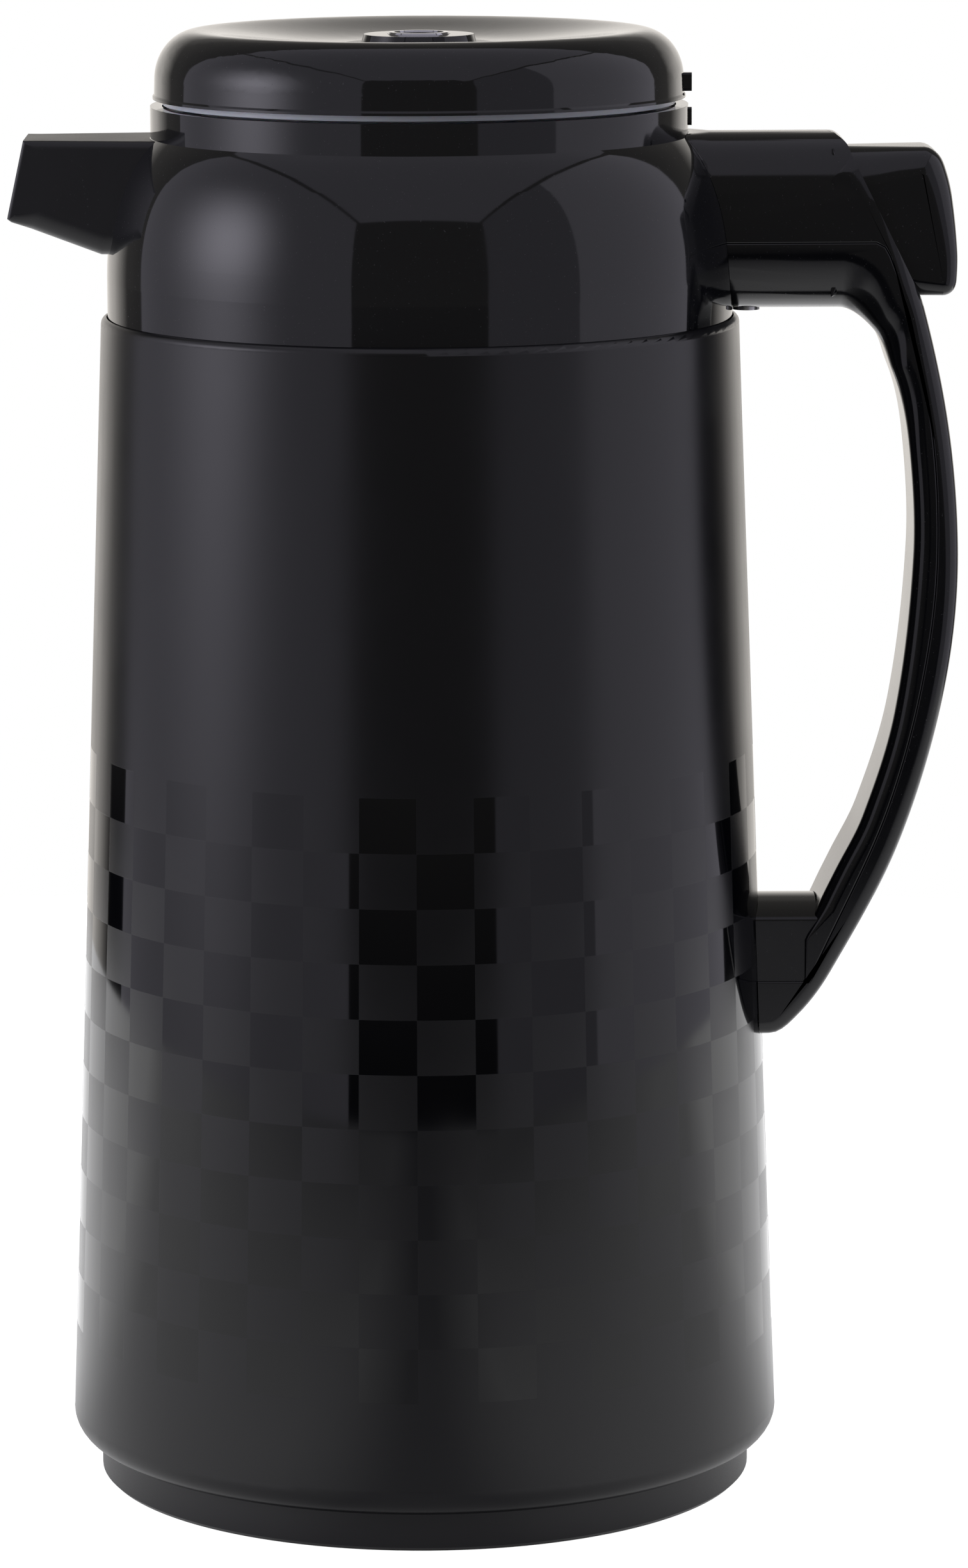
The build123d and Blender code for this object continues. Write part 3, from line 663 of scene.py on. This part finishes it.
def make_spout(material):
    """Pouring spout with softly rounded edges, a fine lip at its tip and a channel through it."""
    low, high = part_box("spout")
    top = high.z / MM
    tip = low.x / MM
    heel = low.z / MM
    half_width = high.y / MM
    root_x = -45
    heel_x = -63.5
    top_round = 1.6
    tip_round = 0.7
    chin_round = 2.0
    heel_round = 4.5
    root_round = 5.0
    lip = (tip + 3.4, top)
    lip_start = (tip + 6, top)
    chin = (tip + 0.8, heel + 6.5)
    chin_end = (tip + 4.7, heel + 5.1)
    outline = outline_of([
        ([(root_x, top), lip_start], top_round, top_round, 0, 0),
        ([lip_start, lip], top_round, tip_round, 0, 0),
        ([lip, (tip + 0.15, top - 14.8), (tip, top - 15.6), chin], tip_round, tip_round, 0, 0),
        ([chin, chin_end], chin_round, heel_round, 0, 0),
        ([chin_end, (heel_x, heel), (root_x, heel)], heel_round, root_round, 0, 0),
        ([(root_x, heel), (root_x, top)], root_round, top_round, 0, 0)])
    piece = rounded_slab("spout_moulding", outline, half_width)
    taper_to_tip(piece, half_width)
    wall = 2.2
    channel_round = 1.8
    roof = top - 2
    inside_x = -40
    outside_x = -92
    corners = [(inside_x, roof), (outside_x, roof), (outside_x, 263.8), (heel_x, heel + wall),
               (inside_x, heel + wall), (inside_x, roof)]
    channel_outline = outline_of([(corners, channel_round, channel_round, 0, 0)])
    channel = rounded_slab("spout_channel", channel_outline, half_width)
    taper_to_tip(channel, half_width * half_width / (half_width - wall))
    well_radius = 51.3
    well = turned_solid("well_tool", [(well_radius, 200), (well_radius, 320)])
    for tool in (channel, well):
        cut(piece, tool)
        bpy.data.objects.remove(tool)
    smooth_by_angle(piece)
    dress(piece, material)
    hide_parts("spout")
    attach(piece, "pot")


def make_valve_spring(material):
    """Spring over the valve: a wire helix."""
    low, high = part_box("valve_spring")
    wire = 0.4 * MM
    turns = 7
    steps = 28
    sides = 8
    radius = high.x - wire
    pitch = (high.z - low.z - 2 * wire) / (turns * steps)
    vertices = []
    for i in range(turns * steps + 1):
        angle = math.tau * i / steps
        for k in range(sides):
            turn = math.tau * k / sides
            reach = radius + wire * math.cos(turn)
            height = low.z + wire + pitch * i + wire * math.sin(turn)
            vertices.append((reach * math.cos(angle), reach * math.sin(angle), height))
    faces = [tuple(range(sides)), tuple(reversed(range(len(vertices) - sides, len(vertices))))]
    for i in range(turns * steps):
        for k in range(sides):
            here = i * sides + k
            beside = i * sides + (k + 1) % sides
            faces.append((here, here + sides, beside + sides, beside))
    mesh = bpy.data.meshes.new("valve_spring_wire")
    mesh.from_pydata(vertices, [], faces)
    piece = bpy.data.objects.new("valve_spring_wire", mesh)
    bpy.context.scene.collection.objects.link(piece)
    smooth_by_angle(piece, 60)
    dress(piece, material)
    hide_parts("valve_spring")
    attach(piece, "lid")
    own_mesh(piece)


# Stage, in metres

STUDIO_TINT = (0.985, 0.955, 1.085, 1)


def make_camera():
    """Long lens, slightly above the lid and tilted down a little."""
    down = math.radians(10.08)
    lean = math.radians(-0.25)
    place = (0, -1.3098, 0.375)
    data = bpy.data.cameras.new("camera")
    data.sensor_width = 36.0
    data.lens = 149.94
    data.shift_x = 0.0395
    data.clip_start = 0.05
    data.clip_end = 50.0
    camera = bpy.data.objects.new("camera", data)
    tilt = Matrix.Rotation(math.radians(90) - down, 4, "X")
    roll = Matrix.Rotation(lean, 4, "Z")
    camera.matrix_world = Matrix.Translation(place) @ tilt @ roll
    bpy.context.scene.collection.objects.link(camera)
    bpy.context.scene.camera = camera


def stage_sheet(name, corners, material):
    """Flat sheet of the studio: it lights the object and the camera doesn't see it."""
    mesh = bpy.data.meshes.new(name)
    mesh.from_pydata(corners, [], [(0, 1, 2, 3)])
    mesh.materials.append(material)
    sheet = bpy.data.objects.new(name, mesh)
    sheet.visible_camera = False
    bpy.context.scene.collection.objects.link(sheet)


def glow(name, level, spot=None):
    """Evenly lit diffuser cloth, with one soft bright spot where its lamp stands close behind."""
    shader = Shader(name, Roughness=1.0)
    shader.surface.inputs["Base Color"].default_value = (0, 0, 0, 1)
    shader.surface.inputs["Specular IOR Level"].default_value = 0.0
    shader.surface.inputs["Emission Color"].default_value = STUDIO_TINT
    strength = level
    if spot:
        centre, reach, extra = spot
        away = shader.node("ShaderNodeVectorMath", operation="DISTANCE")
        shader.link(shader.place()[0], away.inputs[0])
        away.inputs[1].default_value = centre
        share = shader.math("DIVIDE", away.outputs["Value"], reach)
        square = shader.math("MULTIPLY", share, share)
        falloff = shader.math("EXPONENT", shader.math("MULTIPLY", square, -1.0))
        strength = shader.math("ADD", shader.math("MULTIPLY", falloff, extra), level)
    shader.plug(strength, shader.surface.inputs["Emission Strength"])
    return shader.material


def make_tent():
    """Light tent round the object: cloths on both sides and overhead, open towards the camera."""
    side = 1.0
    back = 0.6
    front = -2.2
    fold = -0.61
    roof = 1.45
    foot = -0.35
    left = glow("left_cloth", 0.5, ((-side, -0.3, 0.47), 0.33, 2.8))
    right_front = glow("right_front_cloth", 0.36)
    right_back = glow("right_back_cloth", 0.72)
    for name, x, near, far, cloth in (("left_sheet", -side, front, back, left),
                                      ("right_front_sheet", side, front, fold, right_front),
                                      ("right_back_sheet", side, fold, back, right_back)):
        stage_sheet(name, [(x, near, foot), (x, far, foot), (x, far, roof), (x, near, roof)], cloth)
    width = side - 0.06
    stage_sheet("roof_sheet", [(-width, front, roof), (width, front, roof), (width, back, roof),
                               (-width, back, roof)], glow("roof_cloth", 0.5))


def make_world():
    """Warm white backdrop low behind the object, a dim room in front, plain white for the camera."""
    warm = (1.0, 0.955, 0.9, 1)
    white = (1, 1, 1, 1)
    world = bpy.data.worlds.new("studio")
    world.use_nodes = True
    bpy.context.scene.world = world
    sky = Nodes(world.node_tree)
    background = sky.tree.nodes["Background"]
    direction = sky.node("ShaderNodeSeparateXYZ")
    sky.link(sky.node("ShaderNodeTexCoord").outputs["Generated"], direction.inputs[0])
    behind = sky.between(direction.outputs["Y"], 0.7, 0.88, 0, 1)
    low_down = sky.between(direction.outputs["Z"], 0.1, 0.36, 1, 0.2)
    room = sky.between(direction.outputs["Z"], -0.16, -0.09, 0.005, 0.14)
    lit = sky.math("MAXIMUM", sky.math("MULTIPLY", behind, low_down), room)
    camera_ray = sky.node("ShaderNodeLightPath").outputs["Is Camera Ray"]
    sky.link(sky.math("MAXIMUM", lit, camera_ray), background.inputs["Strength"])
    sky.link(sky.mix_colour(camera_ray, warm, white), background.inputs["Color"])


def make_floor():
    """Round white table top that melts into the white backdrop.

    What the object reflects of it is darker in the middle and towards the camera."""
    steps = 96
    reach = 0.62
    rim = []
    for i in range(steps):
        angle = math.tau * i / steps
        rim.append((reach * math.cos(angle), reach * math.sin(angle), 0))
    mesh = bpy.data.meshes.new("floor")
    mesh.from_pydata(rim, [], [tuple(range(steps))])
    floor = bpy.data.objects.new("floor", mesh)
    bpy.context.scene.collection.objects.link(floor)
    shader = Shader("floor_white", Roughness=0.9)
    shader.surface.inputs["Base Color"].default_value = (0.25, 0.25, 0.25, 1)
    shader.surface.inputs["Specular IOR Level"].default_value = 0.0
    shader.surface.inputs["Emission Color"].default_value = (1, 1, 1, 1)
    _, (x, y, _) = shader.place()
    sideways = shader.between(shader.math("ABSOLUTE", x), 0.02, 0.09, 0.2, 0.7)
    behind = shader.between(y, 0.02, 0.1, 0.0, 0.5)
    ahead = shader.between(y, -0.5, -0.1, 0.3, 1.0)
    level = shader.math("MULTIPLY", shader.math("ADD", sideways, behind), ahead)
    camera_ray = shader.node("ShaderNodeLightPath").outputs["Is Camera Ray"]
    shader.link(shader.math("MAXIMUM", level, camera_ray), shader.surface.inputs["Emission Strength"])
    mesh.materials.append(shader.material)


bpy.context.scene.view_settings.view_transform = "Standard"
finishes = paint_nodes()
grip_finish = gloss_black("grip_gloss", 0.11)
make_handle(grip_finish)
make_button(grip_finish)
make_spout(gloss_black("spout_gloss", 0.32))
make_valve_spring(finishes["steel"])
make_floor()
make_tent()
make_world()
make_camera()
